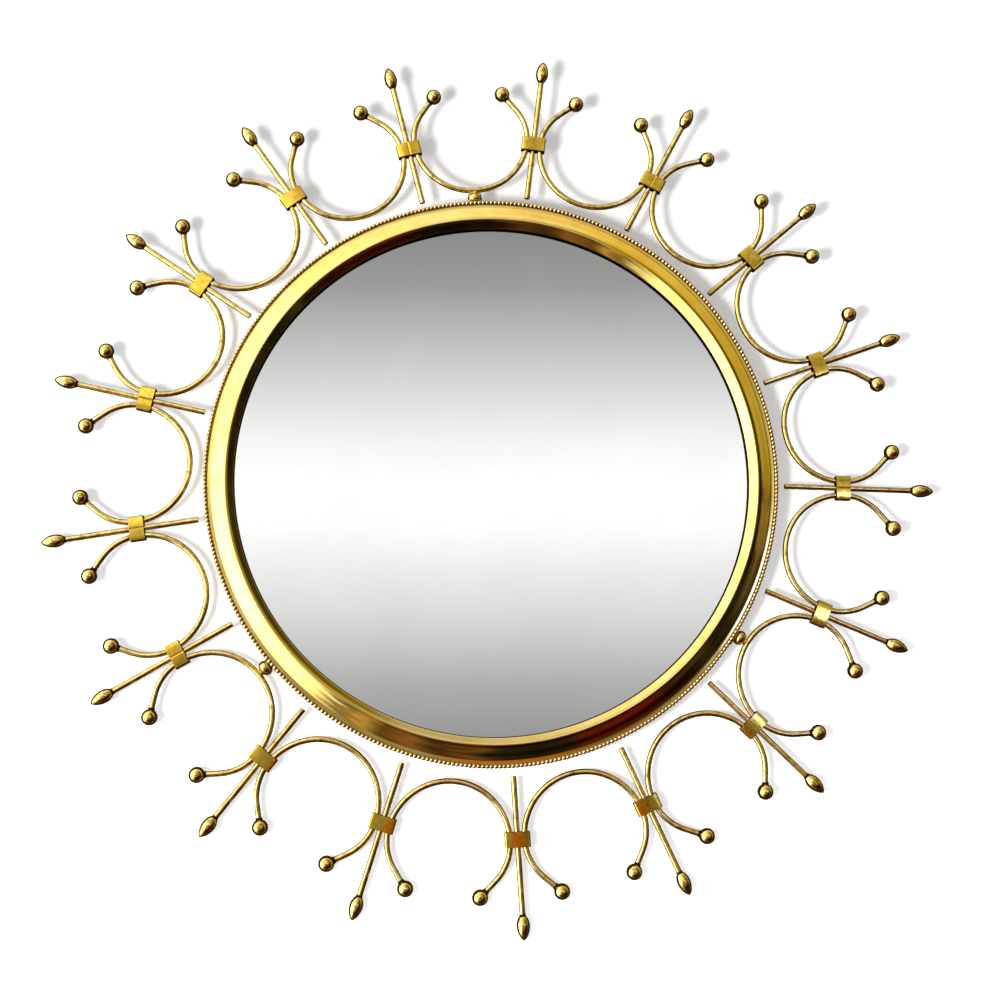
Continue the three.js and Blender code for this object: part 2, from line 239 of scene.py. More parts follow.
# the core of the beaded wire, painted dark brown as shade in the gaps between the beads
painted_gap_shade = brass("beaded wire core, painted shade", "#3A2412", "#5E4022", "#7A5830", 2, 0.5, 2, 0.02)
# drawn brass rod: long sharp streaks of light, olive brown where it has tarnished
drawn_brass = brass("drawn brass rod", "#8E6E30", "#E2C068", "#F3DF9A", 5, 0.08, 5, 0.03)
# brass balls and spears turned on a lathe: smooth and bright
turned_brass = brass("turned brass", "#5E4220", "#E0BE66", "#F4DF98", 2.6, 0.08, 4, 0.04)
# rolled brass strap: flat and satin, a stronger yellow than the rods
strap_brass = brass("rolled brass strap", "#CBA02C", "#DDB33C", "#EBC75A", 3.2, 0.11, 3.4, 0.03)
# soft solder, filed back and coloured by the polish: dull and lumpy
solder = brass("filed solder", "#5E4420", "#C09C50", "#E6CC88", 1.6, 0.3, 0.9, 0.1)
# scale and flux left where a finial is soldered to its rod: nearly black, with no shine; the same material is
# painted shade in the corner by the glass and inside the collars
flux_and_painted_shade = brass("burnt flux and painted shade", "#140C05", "#2C1A0C", "#46301A", 1.2, 0.6, 0.8, 0.06)
# unpolished brass of the hanger: dull and brown, since nobody polishes the back
hanger_brass = brass("unpolished brass", "#5F4520", "#8E6D36", "#A98647", 4, 0.38, 3, 0.04)


def silvered_glass():
    """Float glass silvered on its back: an even, very slightly cool reflection with a trace of haze."""
    material = new_material("silvered glass")
    tree = material.node_tree
    place = add_node(tree, "ShaderNodeTexCoord").outputs["Object"]
    haze = add_node(tree, "ShaderNodeTexNoise", {"Vector": place, "Scale": 1 / (60 * MM), "Detail": 3})
    rough = add_node(tree, "ShaderNodeMapRange", {
        "Value": haze.outputs["Fac"], "From Min": 0.35, "From Max": 0.65, "To Min": 0.0, "To Max": 0.02})
    tint = add_node(tree, "ShaderNodeValToRGB", {"Fac": haze.outputs["Fac"]}, stops=[
        (0.3, linear("#EEEEED")), (0.7, linear("#F2F2F1"))])
    shader = add_node(tree, "ShaderNodeBsdfPrincipled", {
        "Base Color": tint.outputs["Color"], "Metallic": 1, "Roughness": rough.outputs["Result"]})
    add_node(tree, "ShaderNodeOutputMaterial", {"Surface": shader.outputs["BSDF"]})
    return material


def hardboard():
    """Pressed wood fibre board: brown and matt, with short pale and dark fibres lying every way."""
    material = new_material("hardboard")
    tree = material.node_tree
    place = add_node(tree, "ShaderNodeTexCoord").outputs["Object"]
    # fibres are about 0.2 mm thick and are drawn 0.7 mm thick so that they show
    fibres = add_node(tree, "ShaderNodeTexNoise", {
        "Vector": place, "Scale": 1 / (1.4 * MM), "Detail": 6, "Roughness": 0.75, "Distortion": 1.6})
    clouds = add_node(tree, "ShaderNodeTexNoise", {"Vector": place, "Scale": 1 / (40 * MM), "Detail": 3})
    both = add_node(tree, "ShaderNodeMath", {
        0: clouds.outputs["Fac"], 1: 0.35, 2: fibres.outputs["Fac"]}, operation="MULTIPLY_ADD")
    colour = add_node(tree, "ShaderNodeValToRGB", {"Fac": both.outputs["Value"]}, stops=[
        (0.45, linear("#3E2817")), (0.66, linear("#6F4C2F")), (0.9, linear("#9A7450"))])
    bump = add_node(tree, "ShaderNodeBump", {
        "Height": fibres.outputs["Fac"], "Distance": 0.12 * MM, "Strength": 1})
    shader = add_node(tree, "ShaderNodeBsdfPrincipled", {
        "Base Color": colour.outputs["Color"], "Roughness": 0.82, "Normal": bump.outputs["Normal"]})
    add_node(tree, "ShaderNodeOutputMaterial", {"Surface": shader.outputs["BSDF"]})
    return material


# ---------- shapes ----------


def arc(centre, radius, start, end, steps):
    """Points on a circle between two angles in degrees."""
    angles = [math.radians(start + (end - start) * i / steps) for i in range(steps + 1)]
    return [(centre[0] + radius * math.cos(a), centre[1] + radius * math.sin(a)) for a in angles]


def turned(outline, steps, closed=False):
    """A shape turned round the Y axis, from an outline of (radius, place along Y)."""
    shape = bmesh.new()
    corners = [shape.verts.new((radius, along, 0)) for radius, along in outline]
    ends = corners[1:] + corners[:1] if closed else corners[1:]
    lines = [shape.edges.new(pair) for pair in zip(corners, ends)]
    bmesh.ops.spin(shape, geom=corners + lines, cent=(0, 0, 0), axis=(0, 1, 0),
                   angle=2 * math.pi, steps=steps, use_merge=True)
    bmesh.ops.remove_doubles(shape, verts=shape.verts, dist=1e-4)
    return shape


def bend(radius, degrees):
    """A bend to the left for a positive angle, and to the right for a negative one."""
    return {"radius": radius, "turn": math.radians(degrees)}


def straight(length):
    return {"length": length}


def half_rod(start, size, runs):
    """A round rod that starts at a place heading along its Y axis, and the place where it ends."""
    shape = bmesh.new()
    ring = bmesh.ops.create_circle(shape, cap_ends=False, segments=ROD_SIDES, radius=size / 2,
                                   matrix=start @ Matrix.Rotation(math.pi / 2, 4, "X"))["verts"]
    last = ring + shape.edges[:]
    place = start
    for run in runs:
        edges = [part for part in last if isinstance(part, bmesh.types.BMEdge)]
        if "turn" in run:
            side = math.copysign(run["radius"], run["turn"])
            centre = place @ Vector((-side, 0, 0))
            steps = max(2, round(abs(math.degrees(run["turn"])) / 3.5))
            last = bmesh.ops.spin(shape, geom=last, cent=centre, axis=place.to_3x3() @ Vector((0, 0, 1)),
                                  angle=run["turn"], steps=steps)["geom_last"]
            to_centre = Matrix.Translation(centre)
            swing_round = Matrix.Rotation(run["turn"], 4, place.to_3x3() @ Vector((0, 0, 1)))
            place = to_centre @ swing_round @ to_centre.inverted() @ place
        else:
            last = bmesh.ops.extrude_edge_only(shape, edges=edges)["geom"]
            last = [part for part in last if not isinstance(part, bmesh.types.BMFace)]
            moved = [part for part in last if isinstance(part, bmesh.types.BMVert)]
            step = place.to_3x3() @ Vector((0, run["length"], 0))
            bmesh.ops.translate(shape, verts=moved, vec=step)
            # the new ring's own edges, without those that join it to the old ring
            last = moved + [part for part in last if isinstance(part, bmesh.types.BMEdge)
                            and part.verts[0] in moved and part.verts[1] in moved]
            place = place @ Matrix.Translation((0, run["length"], 0))
    return shape, place


def mirrored(shape):
    """Joins a shape's mirror image to it, across the plane x = 0."""
    everything = shape.verts[:] + shape.edges[:] + shape.faces[:]
    bmesh.ops.mirror(shape, geom=everything, axis="X", merge_dist=0)
    bmesh.ops.remove_doubles(shape, verts=shape.verts, dist=1e-3)
    return shape


def close_ends(shape):
    open_edges = [edge for edge in shape.edges if edge.is_boundary]
    if open_edges:
        bmesh.ops.edgeloop_fill(shape, edges=open_edges)
    return shape


def moved(shape, matrix):
    """A copy of a shape in another place."""
    copy = shape.copy()
    bmesh.ops.transform(copy, matrix=matrix, verts=copy.verts)
    return copy


def joined(shapes):
    """One shape made of several, which are freed."""
    whole = bmesh.new()
    carrier = bpy.data.meshes.new("carrier")
    for shape in shapes:
        shape.to_mesh(carrier)
        whole.from_mesh(carrier)
        shape.free()
    bpy.data.meshes.remove(carrier)
    return whole


def plate(corners, rounding, thick, hole=None):
    """A flat plate in the XY plane with rounded corners, its thickness along Z, and perhaps a round hole."""
    shape = bmesh.new()
    shape.faces.new([shape.verts.new((x, y, 0)) for x, y in corners])
    bmesh.ops.bevel(shape, geom=shape.verts[:], offset=rounding, affect="VERTICES",
                    segments=6, profile=0.5, material=-1)
    if hole:
        (x, y), radius = hole
        bmesh.ops.delete(shape, geom=shape.faces[:], context="FACES_ONLY")
        bmesh.ops.create_circle(shape, cap_ends=False, segments=24, radius=radius,
                                matrix=Matrix.Translation((x, y, 0)))
        bmesh.ops.bridge_loops(shape, edges=shape.edges[:])
    grown = bmesh.ops.extrude_face_region(shape, geom=shape.faces[:])["geom"]
    bmesh.ops.translate(shape, vec=(0, 0, thick),
                        verts=[part for part in grown if isinstance(part, bmesh.types.BMVert)])
    bmesh.ops.recalc_face_normals(shape, faces=shape.faces)
    return soften(shape, 0.2, 60)


def soften(shape, width, over):
    """Bevels every edge that turns by more than an angle in degrees."""
    edges = [edge for edge in shape.edges if edge.calc_face_angle(0) > math.radians(over)]
    bmesh.ops.bevel(shape, geom=edges, offset=width, affect="EDGES", segments=2,
                    profile=0.5, material=-1)
    return shape


def finish_piece(name, parts, nodes=(), body="mirror", crease=35):
    """Makes one object of shapes and their materials.

    Edges that turn by more than crease degrees stay sharp.
    """
    mesh = bpy.data.meshes.new(name)
    whole = bmesh.new()
    for index, (shape, material) in enumerate(parts):
        bmesh.ops.remove_doubles(shape, verts=shape.verts, dist=1e-4)
        bmesh.ops.recalc_face_normals(shape, faces=shape.faces)
        for face in shape.faces:
            face.smooth = True
            face.material_index = index
        for edge in shape.edges:
            edge.smooth = edge.calc_face_angle(0) < math.radians(crease)
        shape.to_mesh(mesh)
        whole.from_mesh(mesh)
        shape.free()
        mesh.materials.append(material)
    bmesh.ops.scale(whole, vec=(MM, MM, MM), verts=whole.verts)
    whole.to_mesh(mesh)
    whole.free()
    piece = bpy.data.objects.new(name, mesh)
    bpy.context.scene.collection.objects.link(piece)
    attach(piece, body)
    if nodes:
        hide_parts(*nodes)


def spoke(turns):
    """The wreath's plane, turned clockwise.

    X runs right, Y away from the mirror's centre and Z to the viewer.
    """
    return (Matrix.Translation((0, WREATH_DEPTH, 0)) @ Matrix.Rotation(turns * 2 * math.pi, 4, "Y")
            @ Matrix.Rotation(math.pi / 2, 4, "X"))


# ---------- moulded ring with its beaded wire ----------


def ring_section():
    """The ring's section as (distance in from the skirt's outside, height over the seat)."""
    slope = [(18.6, 0), (18.5, 0.25), *[(18.5 - 3.5 * t, 0.25 + 6.85 * t) for t in (0.25, 0.5, 0.75)]]
    crest = arc((CREST_INSET, CREST_HEIGHT - CREST_ROUNDING), CREST_ROUNDING, 0, 84, 7)
    band = [(CREST_INSET - 7.4 * t, CREST_HEIGHT - 4.2 * t + BAND_BULGE * math.sin(math.pi * t))
            for t in (i / 10 for i in range(1, 10))]
    cove = [(6.9, 3.6), (4.9, 2.35), (4.5, 2.13), (4.15, 2), (3.8, 1.93), (3.4, 1.9), (2.1, 1.9)]
    edge = [(1.95, 1.7), (1.95, 0), (0.25, 0), (0, -0.25), (0, -15.2), (0.2, -15.4)]
    inside = [(0.8, -15.4), (0.8, -0.8), (2.9, -0.8), (2.9, 1.1), (5.7, 1.8), (7.3, 2.9), (14.24, 6.84),
              (17.71, 0), (15.91, 0), (15.91, -0.8), (18.6, -0.8)]
    return slope + crest + band + cove + edge + inside


def turned_ring(section, steps):
    """A ring turned from a section of (distance in from the skirt's outside, height over the seat)."""
    outline = [(SKIRT_RADIUS - inset, SEAT_DEPTH - height) for inset, height in section]
    return turned(outline, steps, closed=True)


def tabs():
    """Flat tabs inside the skirt, bent over the back board."""
    half, root = TAB_WIDTH / 2, 0.4
    leaf = plate([(-half, -TAB_REACH), (half, -TAB_REACH), (half, -root), (-half, -root)],
                 TAB_ROUNDING, SHEET)
    behind_board = (Matrix.Translation((0, 0.3, SKIRT_RADIUS)) @ Matrix.Rotation(math.pi / 2, 4, "X")
                    @ Matrix.Translation((0, 0, -SHEET)))
    placed = [moved(leaf, Matrix.Rotation((i + 0.5) / TABS * 2 * math.pi, 4, "Y") @ behind_board)
              for i in range(TABS)]
    leaf.free()
    return joined(placed)


def moulded_ring():
    # painted shade: a nearly black ring in the corner between the sight edge and the glass
    painted_corner_shade = turned_ring([(18.5, -0.1), (19.1, -1.0), (18.5, -1.0)], 216)
    finish_piece("moulded_ring", [
        (turned_ring(ring_section(), 288), spun_brass), (tabs(), hanger_brass), (painted_corner_shade, flux_and_painted_shade)],
        ["frame_ring"])


def beaded_wire():
    beads = bmesh.new()
    bmesh.ops.create_uvsphere(beads, u_segments=8, v_segments=6, radius=BEAD / 2,
                              matrix=(Matrix.Translation((BEAD_CIRCLE, BEAD_DEPTH, 0))
                                      @ Matrix.Diagonal((1, 1, BEAD_STRETCH, 1))))
    one = beads.verts[:] + beads.edges[:] + beads.faces[:]
    bmesh.ops.spin(beads, geom=one, cent=(0, 0, 0), axis=(0, 1, 0), steps=BEADS - 1,
                   angle=2 * math.pi * (BEADS - 1) / BEADS, use_duplicate=True)
    # painted shade: the dark core shows in the gaps between the beads
    core = turned(arc((BEAD_CIRCLE, BEAD_DEPTH), BEAD_CORE, 0, 330, 11), 216, closed=True)
    finish_piece("beaded_wire", [(beads, beaded_brass), (core, painted_gap_shade)],
                 ["beaded_rim"], crease=80)


# ---------- glass and board ----------


def glass():
    # the silver is on the back of the glass and looks two thirds of its thickness under the front,
    # which leaves the dark line that shows along the sight edge
    silver = GLASS_FRONT + (GLASS_BACK - GLASS_FRONT) / GLASS_INDEX
    inner = GLASS_RADIUS - GLASS_GRIND
    rim = [(0, silver), (inner, silver), (GLASS_RADIUS, silver + GLASS_GRIND),
           (GLASS_RADIUS, GLASS_BACK - GLASS_GRIND), (inner, GLASS_BACK), (0, GLASS_BACK)]
    finish_piece("silvered_glass_disc", [(turned(rim, 144), silvered_glass())],
                 ["mirror_glass"])


def board():
    front, back = BOARD_EDGE_FRONT, BOARD_EDGE_BACK
    rim = [(0, BOARD_FRONT), (GLASS_RADIUS - front, BOARD_FRONT), (GLASS_RADIUS, BOARD_FRONT + front),
           (GLASS_RADIUS, -back), (GLASS_RADIUS - back, 0), (0, 0)]
    finish_piece("hardboard_disc", [(turned(rim, 144), hardboard())], ["back_board"])


# ---------- wreath ----------


def bent_arch():
    """One rod bent into a U, its two ball finials and the flux, burnt black, where they are soldered on."""
    start = Matrix.Translation((0, ARCH_BOTTOM, 0)) @ Matrix.Rotation(-math.pi / 2, 4, "Z")
    rod, tip = half_rod(start, ROD_DRAWN, [
        bend(ARCH_RADIUS, 90 - math.degrees(HALF_STEP)),
        bend(ARM_BEND_RADIUS, math.degrees(ARM_BEND)),
        straight(ARM_STRAIGHT),
    ])
    radius, half = ARM_BALL / 2, ROD_DRAWN / 2
    ball = turned([(0, -radius), *arc((0, 0), radius, -84, 84, 14), (0, radius)], 24)
    neck = turned([(0, -radius - 1), (half + 0.05, -radius - 1), (half + 0.3, -radius - 0.7),
                   (half + 0.35, -radius), (half + 0.6, -radius + 0.6), (half + 0.2, -radius + 1),
                   (0, -radius + 1)], ROD_SIDES)
    return [(close_ends(mirrored(rod)), drawn_brass),
            (mirrored(moved(ball, tip)), turned_brass),
            (mirrored(moved(neck, tip)), flux_and_painted_shade)]


def spear_ray():
    """A straight rod cut square at its inner end, with a turned spear on its outer end."""
    base = RAY_TIP - SPEAR_LENGTH
    half = ROD_DRAWN / 2
    rod = turned([(0, RAY_INNER), (half - 0.25, RAY_INNER), (half, RAY_INNER + 0.25),
                  (half, base + 1), (0, base + 1)], ROD_SIDES)
    foot, widest = SPEAR_BASE / 2, SPEAR_SIZE / 2
    outline = [(0, base), (foot - 0.2, base), (foot, base + 0.15)]
    outline += [(foot + (widest - foot) * math.sin(math.pi / 2 * i / 7), base + SPEAR_SHOULDER * i / 7)
                for i in range(1, 8)]
    taper = SPEAR_LENGTH - SPEAR_SHOULDER
    outline += [(widest * (1 - t * t) ** SPEAR_BLUNTNESS, base + SPEAR_SHOULDER + taper * t)
                for t in (*(i / 12 for i in range(1, 12)), 0.97)]
    outline += [(0, RAY_TIP)]
    spear = turned(outline, 24)
    neck = turned([(0, base - 1.5), (half + 0.05, base - 1.5), (half + 0.25, base - 1.2),
                   (half + 0.3, base - 0.4), (half + 0.55, base + 0.1), (0, base + 0.1)],
                  ROD_SIDES)
    return [(rod, drawn_brass), (spear, turned_brass), (neck, flux_and_painted_shade)]


def collar_outline(seamed):
    """The outside of a collar as one face: perhaps a seam, a flat middle, and two sides that lean back."""
    fold = STRAP_FLAT / 2
    side_front = COLLAR_FRONT - (COLLAR_HALF_WIDTH - fold) * STRAP_LEAN
    seam = [(SEAM_WIDTH / 2, COLLAR_FRONT), (0, COLLAR_FRONT - SEAM_DEPTH), (-SEAM_WIDTH / 2, COLLAR_FRONT)]
    corners = [(fold, COLLAR_FRONT), *(seam if seamed else []), (-fold, COLLAR_FRONT),
               (-COLLAR_HALF_WIDTH, side_front), (-COLLAR_HALF_WIDTH, COLLAR_BACK),
               (COLLAR_HALF_WIDTH, COLLAR_BACK), (COLLAR_HALF_WIDTH, side_front)]
    shape = bmesh.new()
    loop = [shape.verts.new((x, 0, z)) for x, z in corners]
    shape.faces.new(loop)
    bmesh.ops.bevel(shape, geom=loop[-4:], offset=STRAP, affect="VERTICES", segments=10,
                    profile=0.5, material=-1)
    return shape


def folded_collar(seamed):
    """A strap folded round three rods. A nearly black filling, painted shade of the hollow between strap and
    rods, fills it and shows at both ends.
    """
    strap = collar_outline(seamed)
    hollow = strap.faces[:]
    bmesh.ops.inset_region(strap, faces=hollow, thickness=STRAP, use_even_offset=True, use_boundary=True)
    bmesh.ops.delete(strap, geom=hollow, context="FACES")
    # painted shade: a nearly black filling where the hollow inside the collar lies in shade
    filling = collar_outline(seamed)
    rim = bmesh.ops.inset_region(filling, faces=filling.faces[:], thickness=0.2, use_even_offset=True,
                                 use_boundary=True)["faces"]
    bmesh.ops.delete(filling, geom=rim, context="FACES")
    parts = []
    for shape, length, material in (
            (strap, COLLAR_LENGTH - STRAP_SHORT, strap_brass), (filling, COLLAR_LENGTH, flux_and_painted_shade)):
        grown = bmesh.ops.extrude_face_region(shape, geom=shape.faces[:])["geom"]
        bmesh.ops.translate(shape, vec=(0, length, 0),
                            verts=[part for part in grown if isinstance(part, bmesh.types.BMVert)])
        bmesh.ops.recalc_face_normals(shape, faces=shape.faces)
        soften(shape, 0.1, 60)
        bmesh.ops.translate(shape, vec=(0, COLLAR_RADIUS - length / 2, 0), verts=shape.verts)
        parts.append((shape, material))
    return parts


def ball_standoff():
    half = STANDOFF_HEIGHT / 2
    foot = STANDOFF_FOOT
    start = math.degrees(math.asin((0.8 - half) / half))
    outline = [(0, foot), (3.05, foot), (3.3, foot + 0.25), (3.3, foot + 0.6), (3.1, foot + 0.8)]
    outline += [(radius * STANDOFF_SIZE / STANDOFF_HEIGHT, height)
                for radius, height in arc((0, foot + half), half, start, 84, 12)]
    outline.append((0, foot + STANDOFF_HEIGHT))
    return [(turned(outline, 28), turned_brass)]


def lump(centre, size, seed):
    """A lump of solder: a ball pushed out of shape."""
    shape = bmesh.new()
    bmesh.ops.create_icosphere(shape, subdivisions=3, radius=1)
    for vert in shape.verts:
        push = noise.noise(vert.co * 1.7 + Vector((seed, 0, 0)))
        vert.co *= 1 + LUMP_ROUGHNESS * push
    place = Matrix.Translation(centre) @ Matrix.Diagonal((*size, 1))
    bmesh.ops.transform(shape, matrix=place, verts=shape.verts)
    return shape


# lumps of solder at each standoff: place across, height over its foot, place towards the viewer, and size;
# the top one was soldered again and again, and the second has a fillet beside its foot
SOLDER = {
    1: [(0.2, 8.2, 0.2, (2.8, 1.3, 2.0)), (-2.9, 6.0, 2.0, (1.5, 1.9, 1.5)),
        (2.8, 5.6, 2.2, (1.6, 2.0, 1.5)), (-3.6, 2.2, 1.2, (1.5, 1.8, 1.8)),
        (0.4, 3.6, 4.0, (1.6, 1.5, 0.8)), (3.6, 1.4, 0.6, (1.5, 1.2, 1.8))],
    2: [(0.2, 8.3, 0, (2.2, 0.9, 1.6)), (4.4, 0.9, 0, (3.0, 0.8, 2.3))],
    3: [(-0.3, 8.2, 0.3, (2.4, 1.0, 1.8)), (1.5, 1.0, 2.4, (2.6, 0.9, 1.2))],
}
LUMP_ROUGHNESS = 0.35
STANDOFF_ARCHES = ((1, 0), (2, 6), (3, 11))  # each standoff, and which arch it stands under


def build_wreath():
    arch_parts, ray_parts = bent_arch(), spear_ray()
    collar_parts = {seamed: folded_collar(seamed) for seamed in (True, False)}
    for i in range(GROUPS):
        number = f"{i + 1:02d}"
        for kind, node, parts, turns, slot, crease in (
                ("bent_arch", "arch", arch_parts, i / GROUPS, "drawn_brass", 35),
                ("spear_ray", "ray", ray_parts, (i + 0.5) / GROUPS, "drawn_brass", 35),
                ("folded_collar", "collar", collar_parts[i + 1 in SEAMED], (i + 0.5) / GROUPS,
                 "strap_brass", 10)):
            placed = [(moved(shape, spoke(turns)), material) for shape, material in parts]
            finish_piece(f"{kind}_{number}", placed, [f"{node}_{number}"], crease=crease)
    standoff_parts = ball_standoff()
    for number, arch in STANDOFF_ARCHES:
        placed = [(moved(shape, spoke(arch / GROUPS)), material) for shape, material in standoff_parts]
        finish_piece(f"ball_standoff_{number}", placed, [f"standoff_{number}"])
        lumps = [lump((x, STANDOFF_FOOT + height, z), size, number * 3.1 + place)
                 for place, (x, height, z, size) in enumerate(SOLDER[number])]
        finish_piece(f"solder_{number}", [(moved(shape, spoke(arch / GROUPS)), solder) for shape in lumps])
        for shape in lumps:
            shape.free()


# ---------- hanger on the back ----------


def hanger_bracket():
    """A plate on the back board with two ears for the ring, and the rivets that hold it."""
    wide = bracket_high.x
    low, high = bracket_low.z, bracket_high.z
    back = Matrix.Translation((0, 1.5, 0)) @ Matrix.Rotation(math.pi / 2, 4, "X")
    sheet = plate([(-wide, low), (wide, low), (wide, high), (-wide, high)], BRACKET_ROUNDING, BRACKET_SHEET)
    parts = [(moved(sheet, back), hanger_brass)]
    half, reach = EAR_HALF_HEIGHT, bracket_high.y
    ear = plate([(EAR_FOOT, -half), (reach, -half), (reach, half), (EAR_FOOT, half)],
                EAR_ROUNDING, BRACKET_SHEET, hole=((PIVOT.y, 0), EAR_HOLE))
    for inner in (-wide, wide - BRACKET_SHEET):
        # the ear's outline lies in X and Y, and is turned so that its X runs to the rear and its Y up
        upright = Matrix.Translation((inner, 0, PIVOT.z)) @ Matrix(
            ((0, 0, 1, 0), (1, 0, 0, 0), (0, 1, 0, 0), (0, 0, 0, 1)))
        parts.append((moved(ear, upright), hanger_brass))
    head = turned([(0, 0), (2.3, 0), *arc((0, -0.9), 2.47, 22, 84, 6), (0, 1.57)], 20)
    for height in RIVETS:
        parts.append((moved(head, Matrix.Translation((0, 1.45, PIVOT.z + height))), hanger_brass))
    for shape in (sheet, ear, head):
        shape.free()
    finish_piece("hanger_bracket_sheet", parts, ["hanger_bracket"])


def hanging_ring():
    """A wire bent to a D: a straight pin in the ears, two short legs and a half circle."""
    start = (Matrix.Translation(PIVOT) @ Matrix.Rotation(math.pi / 2, 4, "X")
             @ Matrix.Rotation(-math.pi / 2, 4, "Z"))
    wire, _ = half_rod(start, RING_WIRE, [
        straight(RING_HALF_WIDTH - RING_CORNER),
        bend(RING_CORNER, -90),
        straight(RING_LEG - RING_CORNER),
        bend(RING_HALF_WIDTH, -90),
    ])
    finish_piece("hanging_wire_ring", [(mirrored(wire), hanger_brass)],
                 ["hanging_ring"], body="ring")


# ---------- stage, light and camera ----------


PAINT = grey(0.9)
WALL_LIFT_LOW, WALL_LIFT_HIGH = 0.36, 0.07
WALL_IN_BRASS = (0.05, 0.035, 0.02, 1)
WALL_SLOPE = 0.037  # the mirror hangs a little forward: the wall is further from its top
WALL_TOP, WALL_HALF_WIDTH = 2500, 2500
FLOOR_LEVEL, FLOOR_HALF_WIDTH = -450, 3000
FLOOR_LIFT = 0.3
# lamps, in metres: a soft one beside the camera throws the shadows to the right, and one lights the back
LAMP_PLACE, LAMP_AIM = Vector((-0.4, -0.88, -0.21)), Vector((0.5, 0, 0.2))
LAMP_SIZE, LAMP_POWER = 0.19, 8.6
FILL_PLACE, FILL_AIM = Vector((0.3, 1.2, 0.5)), Vector((0, 0, 0))
FILL_SIZE, FILL_POWER = 0.8, 6


def stage_plane(name, corners, shader_maker):
    shape = bmesh.new()
    shape.faces.new([shape.verts.new(Vector(corner) * MM) for corner in corners])
    mesh = bpy.data.meshes.new(name)
    shape.to_mesh(mesh)
    shape.free()
    material = new_material(name)
    shader_maker(material.node_tree)
    mesh.materials.append(material)
    plane = bpy.data.objects.new(name, mesh)
    bpy.context.scene.collection.objects.link(plane)
    return plane


def wall_shader(tree):
    """Matt white paint, seen only from the front, lifted to pure white for the camera alone.

    It is lifted more low down, where the photograph's shadows are faint. The brass sees it dim,
    which gives the rods the dark outlines of the photograph.
    """
    paint = add_node(tree, "ShaderNodeBsdfDiffuse", {"Color": PAINT})
    seen = add_node(tree, "ShaderNodeLightPath")
    place = add_node(tree, "ShaderNodeTexCoord").outputs["Object"]
    spot = add_node(tree, "ShaderNodeSeparateXYZ", {"Vector": place})
    level = add_node(tree, "ShaderNodeMapRange", {
        "Value": spot.outputs["Z"], "From Min": -RAY_TIP * MM, "From Max": RAY_TIP * MM,
        "To Min": WALL_LIFT_LOW, "To Max": WALL_LIFT_HIGH})
    lift = add_node(tree, "ShaderNodeMath", {0: seen.outputs["Is Camera Ray"], 1: level.outputs["Result"]},
                    operation="MULTIPLY")
    glow = add_node(tree, "ShaderNodeEmission", {"Color": grey(1), "Strength": lift.outputs["Value"]})
    bright = add_node(tree, "ShaderNodeAddShader", {0: paint.outputs["BSDF"], 1: glow.outputs["Emission"]})
    dim = add_node(tree, "ShaderNodeEmission", {"Color": WALL_IN_BRASS, "Strength": 1})
    front = add_node(tree, "ShaderNodeMixShader", {
        "Fac": seen.outputs["Is Glossy Ray"], 1: bright.outputs["Shader"], 2: dim.outputs["Emission"]})
    side = add_node(tree, "ShaderNodeNewGeometry")
    clear = add_node(tree, "ShaderNodeBsdfTransparent")
    both = add_node(tree, "ShaderNodeMixShader", {
        "Fac": side.outputs["Backfacing"], 1: front.outputs["Shader"], 2: clear.outputs["BSDF"]})
    add_node(tree, "ShaderNodeOutputMaterial", {"Surface": both.outputs["Shader"]})


def floor_shader(tree):
    paint = add_node(tree, "ShaderNodeBsdfDiffuse", {"Color": PAINT})
    seen = add_node(tree, "ShaderNodeLightPath")
    lift = add_node(tree, "ShaderNodeMath", {0: seen.outputs["Is Camera Ray"], 1: FLOOR_LIFT},
                    operation="MULTIPLY")
    glow = add_node(tree, "ShaderNodeEmission", {"Color": grey(1), "Strength": lift.outputs["Value"]})
    front = add_node(tree, "ShaderNodeAddShader", {0: paint.outputs["BSDF"], 1: glow.outputs["Emission"]})
    add_node(tree, "ShaderNodeOutputMaterial", {"Surface": front.outputs["Shader"]})


def build_stage():
    def wall_depth(height):
        return WALL_EDGE + WALL_SLOPE * (height + SKIRT_RADIUS)

    wide, low, high = WALL_HALF_WIDTH, FLOOR_LEVEL, WALL_TOP
    wall = stage_plane("white_wall", [
        (-wide, wall_depth(low), low), (wide, wall_depth(low), low),
        (wide, wall_depth(high), high), (-wide, wall_depth(high), high)], wall_shader)
    wall.visible_shadow = False
    wide = FLOOR_HALF_WIDTH
    floor = stage_plane("pale_floor", [
        (-wide, -wide, low), (wide, -wide, low), (wide, wide, low), (-wide, wide, low)], floor_shader)
    floor.visible_glossy = False
    floor.visible_shadow = False  # the lamp shines up past it


def lamp(name, place, aim, size, power):
    """A round soft lamp, as bright far away as near, so that the wall is evenly white.

    The world's pattern stands for it in the brass.
    """
    light = bpy.data.objects.new(name, bpy.data.lights.new(name, "AREA"))
    light.data.shape = "DISK"
    light.data.size = size
    light.data.energy = power
    facing = (aim - place).to_track_quat("-Z", "Y")
    light.matrix_world = Matrix.Translation(place) @ facing.to_matrix().to_4x4()
    bpy.context.scene.collection.objects.link(light)
    light.visible_glossy = False
    light.data.use_nodes = True
    tree = light.data.node_tree
    tree.nodes.clear()
    even = add_node(tree, "ShaderNodeLightFalloff", {"Strength": 1})
    glow = add_node(tree, "ShaderNodeEmission", {"Strength": even.outputs["Constant"]})
    add_node(tree, "ShaderNodeOutputLight", {"Surface": glow.outputs["Emission"]})


# the mirror's view of the camera's own surroundings: where its middle is and which way is up in it
PANEL_AXIS = Vector((0.0636, -0.9834, 0.1702))
PANEL_UP = Vector((0.0556, 0.1701, 0.9839))
PANEL_SIDE = Vector((0.9965, 0.0531, -0.0655))
